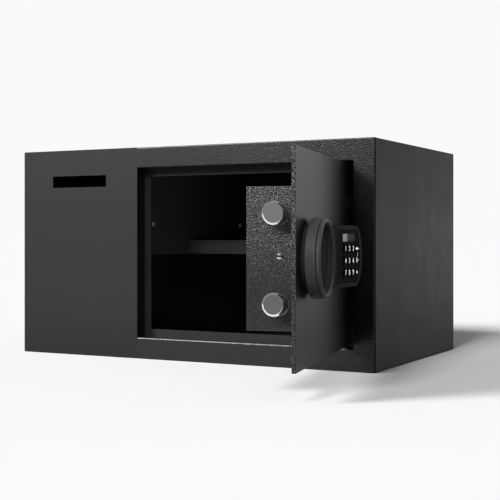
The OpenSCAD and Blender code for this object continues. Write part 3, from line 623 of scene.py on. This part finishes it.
def dish_key(bm):
    """Sinks the key's top a little inside a narrow rim."""
    bm.faces.ensure_lookup_table()
    top = max(bm.faces, key=lambda f: f.calc_area() if f.normal.dot(PAD_OUT) > 0.99 else 0)
    bmesh.ops.inset_individual(bm, faces=[top], thickness=RIM * MM, depth=-DISH * MM)


def mark_piece(name, mesh, body, centre):
    """A raised print, moved from its flat drawing to its place on the keypad."""
    bm = bmesh.new()
    bm.from_mesh(mesh)
    bmesh.ops.transform(bm, matrix=PAD.to_4x4() @ Matrix.Translation(centre), verts=bm.verts)
    return store(name, mesh, bm, body, "nylon")


def outline_mesh(name, outlines):
    """A flat print from closed outlines, in millimetres."""
    bm = bmesh.new()
    for points in outlines:
        low = [bm.verts.new((x * MM, y * MM, 0)) for x, y in points]
        high = [bm.verts.new((x * MM, y * MM, PRINT * MM)) for x, y in points]
        bm.faces.new(low[::-1])
        bm.faces.new(high)
        for i in range(len(points)):
            k = (i + 1) % len(points)
            bm.faces.new((low[i], low[k], high[k], high[i]))
    mesh = bpy.data.meshes.new(name)
    bm.to_mesh(mesh)
    bm.free()
    return mesh


def digit_mesh(name, text):
    """A digit as a flat print, centred."""
    height_of_type, bolder = 0.7, 0.10
    curve = bpy.data.curves.new(name, "FONT")
    curve.body = text
    curve.size = DIGIT_H * MM / height_of_type
    curve.offset = bolder * MM
    curve.extrude = PRINT / 2 * MM
    curve.align_x = "CENTER"
    curve.align_y = "CENTER"
    holder = bpy.data.objects.new(name, curve)
    bpy.context.scene.collection.objects.link(holder)
    shapes = bpy.context.evaluated_depsgraph_get()
    mesh = bpy.data.meshes.new_from_object(holder.evaluated_get(shapes))
    bpy.data.objects.remove(holder)
    bpy.data.curves.remove(curve)
    return mesh


def rectangle(left, low, right, high):
    return [(left, low), (right, low), (right, high), (left, high)]


def circle(radius, count=24):
    turns = [2 * math.pi * i / count for i in range(count)]
    return [(radius * math.cos(turn), radius * math.sin(turn)) for turn in turns]


def arrow():
    """An arrow to the right, from half its length, its neck's place and the half widths of shaft and head."""
    end, neck, shaft, head = 3.3, 1.0, 1.0, 1.7
    lower = [(-end, -shaft), (neck, -shaft), (neck, -head)]
    upper = [(x, -y) for x, y in lower[::-1]]
    return lower + [(end, 0.0)] + upper


def print_keys():
    """White digits on ten keys, an arrow on the menu key and a dot on the enter key."""
    dot = 1.4
    for name in [n for n in nodes if n.startswith("key_") and n != "key_membrane"]:
        low, high = span(name, PAD)
        text = name.removeprefix("key_")
        mark = "mark_" + text
        if text == "menu":
            mesh = outline_mesh(mark, [arrow()])
        elif text == "enter":
            mesh = outline_mesh(mark, [circle(dot)])
        else:
            mesh = digit_mesh(mark, text)
        centre = Vector(((low.x + high.x) / 2, (low.y + high.y) / 2, high.z - DISH * MM))
        mark_piece(mark, mesh, nodes[name]["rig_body"], centre)
        dressed(name, 0.3, shape=dish_key)


def print_guide():
    """A fine printed bracket on the face, beside the right column of keys."""
    line, gap, tick = 0.5, 0.5, 3.2
    _, face_high = span("keypad_face", PAD)
    menu_low, menu_high = span("key_menu", PAD)
    zero_low, zero_high = span("key_0", PAD)
    left = menu_high.x / MM + gap
    right = left + line
    top = (menu_low.y + menu_high.y) / 2 / MM
    low = (zero_low.y + zero_high.y) / 2 / MM
    stem = rectangle(left, low, right, top)
    ticks = [rectangle(right, y, right + tick, y + line) for y in (low, top - line)]
    mesh = outline_mesh("mark_bracket", [stem] + ticks)
    return mark_piece("mark_bracket", mesh, nodes["keypad_face"]["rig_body"], Vector((0, 0, face_high.z)))


def widen_lip(bm):
    """Makes the bend along the opening's lower edge twice as tall, so that it catches more light."""
    edge, bend = OPENING_LOW * MM, BEND * 1.01 * MM
    for v in bm.verts:
        if abs(v.co.z - edge) < bend and OPENING_LEFT * MM < v.co.x < OPENING_RIGHT * MM:
            v.co.z = edge - 2 * (edge - v.co.z)


def screw_head(points):
    """Where the side screw's head ends toward the free edge, and its middle, up and out."""
    depth = 1.2
    edge = min(p.x for p in points)
    head = [p for p in points if p.x < edge + depth * MM]
    return edge, [(min(p[i] for p in head) + max(p[i] for p in head)) / 2 for i in (1, 2)]


def turn_side_screw(bm):
    """Turns the screw in the lock's free side so that its slot lies level, and widens the slot."""
    reach, length = 3.5, 8
    slot_depth, slot_half, wide_half = 0.8, 0.36, 0.55
    places = measured(DOOR, bm.verts)
    edge, middle = screw_head(places)
    for v, p in zip(bm.verts, places):
        up, out = p.y - middle[0], p.z - middle[1]
        if math.hypot(up, out) < reach * MM and p.x < edge + length * MM:
            up, out = out, -up
            if p.x < edge + slot_depth * MM and abs(up) < slot_half * MM:
                up = math.copysign(wide_half * MM, up)
            v.co = DOOR @ Vector((p.x, middle[0] + up, middle[1] + out))


def slot_shade():
    """Dark strip in the side screw's slot, level with its head."""
    length, tall, proud, thick = 5.8, 1.5, 0.02, 0.3
    edge, middle = screw_head(measured(DOOR, nodes["cover_screws"].data.vertices))
    bm = bmesh.new()
    place = DOOR @ Vector((edge + (thick / 2 - proud) * MM, *middle))
    add_block(bm, place, (thick, tall, length), DOOR)
    return dark_detail("slot_shade", bm, "cover_screws")


def knob_gap_shade():
    """Painted shade: a dark ring in the groove between the knob's band and its front ring."""
    low, high = span("knob_bezel", DOOR)
    sunk, behind, half, thick = 0.12, 4.0, 0.5, 1.5
    radius = (high.y - low.y) / 2 / MM - sunk
    bm = bmesh.new()
    points = [bm.verts.new((x * MM, 0, z * MM)) for x, z in rectangle(radius - thick, -half, radius, half)]
    sides = [bm.edges.new((a, b)) for a, b in zip(points, points[1:] + points[:1])]
    bmesh.ops.spin(bm, geom=points + sides, axis=(0, 0, 1), cent=(0, 0, 0), steps=96, angle=2 * math.pi)
    bmesh.ops.remove_doubles(bm, verts=bm.verts, dist=1e-6)
    bmesh.ops.recalc_face_normals(bm, faces=bm.faces)
    middle = Vector(((low.x + high.x) / 2, (low.y + high.y) / 2, high.z - behind * MM))
    bmesh.ops.transform(bm, matrix=DOOR.to_4x4() @ Matrix.Translation(middle), verts=bm.verts)
    return dark_detail("knob_gap_shade", bm, "knob_bezel")


def side_dark_lines():
    """Dark lines down both sides of the cabinet, just behind the front sheet's edge."""
    low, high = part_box("body_shell")
    line, proud, after = 2.6, 0.03, 0.8
    bm = bmesh.new()
    for x in (low.x, high.x):
        middle = Vector((x, (FRONT_Y + after + line / 2) * MM, (low.z + high.z) / 2))
        add_block(bm, middle, (2 * proud, line, (high.z - low.z) / MM))
    return dark_detail("side_dark_lines", bm, "body_shell")


# How wide the edges are rounded, in millimetres.
ROUNDED = {
    "door_plate": 0.6, "lock_cover": 0.5, "hinge_lugs": 0.6, "jamb_frame": 0.5, "shelf": 0.5,
    "knob_collar": 0.4, "knob_grip": 0.6, "knob_bezel": 0.6,
    "display_window": 0.2,
    "bolt_upper": 0.3, "bolt_lower": 0.3, "partition": 0.4, "back_panel": 0.5,
}

for name, width in ROUNDED.items():
    dressed(name, width)
dressed("front_frame", 0.8, 3, shape=widen_lip)
dressed("knob_cap", 1.0, 3, finish="black_plastic")
dressed("hinge_washers", 0.1, 1, finish="black_plastic")
dressed("hinge_pins", 0.1, 1, finish="black_plastic")
dressed("cover_screws", 0.08, 1, first=turn_side_screw)
dressed("keypad_housing", 0.9, first=shape_pad)
dressed("keypad_face", 0.35, first=shape_pad)
print_keys()
print_guide()
slot_shade()
knob_gap_shade()
side_dark_lines()

floor = build_floor()
build_world()
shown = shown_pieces()


def named(*starts):
    return [o for o in shown if o.name.startswith(starts)]


# The suns and the side light leave out the bright bolts and cover screws, which mirror the studio.
matt = [o for o in shown if not o.name.startswith(("bolt_", "cover_screws"))]
all_but_shell = [o for o in matt if o not in named("body_shell")]
sun("key_light", along=(0.663, 0.748), down=27.6, strength=3.18, spread=18, lit=matt + [floor])
sun("front_light", along=(0.0, 1.0), down=38, strength=1.94, spread=18, lit=matt + [floor])
area_lamp("spark_light", (0.05, -1.15, 0.60), target=(0.15, -0.2, 0.2), size=(0.12, 0.12), watts=0.85,
          lit=named("front_frame", "drop_panel", "lock_cover", "door_plate", "jamb_", "cover_screws"))
area_lamp("panel_light", (-0.15, -0.60, 0.62), target=(0.0, -0.15, 0.15), size=(0.6, 0.15), watts=2.4,
          lit=named("front_frame", "drop_panel"))
area_lamp("lip_light", (-0.38, -0.62, 0.76), target=(0.08, -0.1375, 0.025), size=(0.5, 0.7), watts=5.4,
          lit=named("front_frame"))
area_lamp("side_light", (1.15, 0.90, 0.55), target=(0.235, 0.0, 0.12), size=(0.9, 0.4), watts=3.2,
          lit=all_but_shell)
area_lamp("shell_light", (0.70, 1.40, 0.12), target=(0.235, 0.05, 0.10), size=(0.5, 0.2), watts=0.92,
          lit=named("body_shell"))
area_lamp("edge_light", (1.40, -0.60, 0.50), target=(0.235, -0.14, 0.15), size=(0.2, 0.2), watts=0.2,
          lit=named("front_frame"))
area_lamp("knob_light", (0.80, -1.20, 0.75), target=(0.27, -0.33, 0.125), size=(0.15, 0.15), watts=3.2,
          lit=named("knob_"))
area_lamp("pad_light", (0.95, 0.05, 0.35), target=(0.25, -0.25, 0.125), size=(0.3, 0.3), watts=5.5,
          lit=named("mark_", "display_window", "keypad_face", "key_"))
area_lamp("screw_light", (0.20, -0.95, 0.35), target=(0.0, 0.0, 0.16), size=(0.1, 0.1), watts=4.0,
          lit=named("partition_screws"))
area_lamp("inner_light", (0.70, -1.10, 0.04), target=(0.0, 0.0, 0.12), size=(0.2, 0.2), watts=2.6,
          lit=named("partition", "back_panel", "body_shell"))
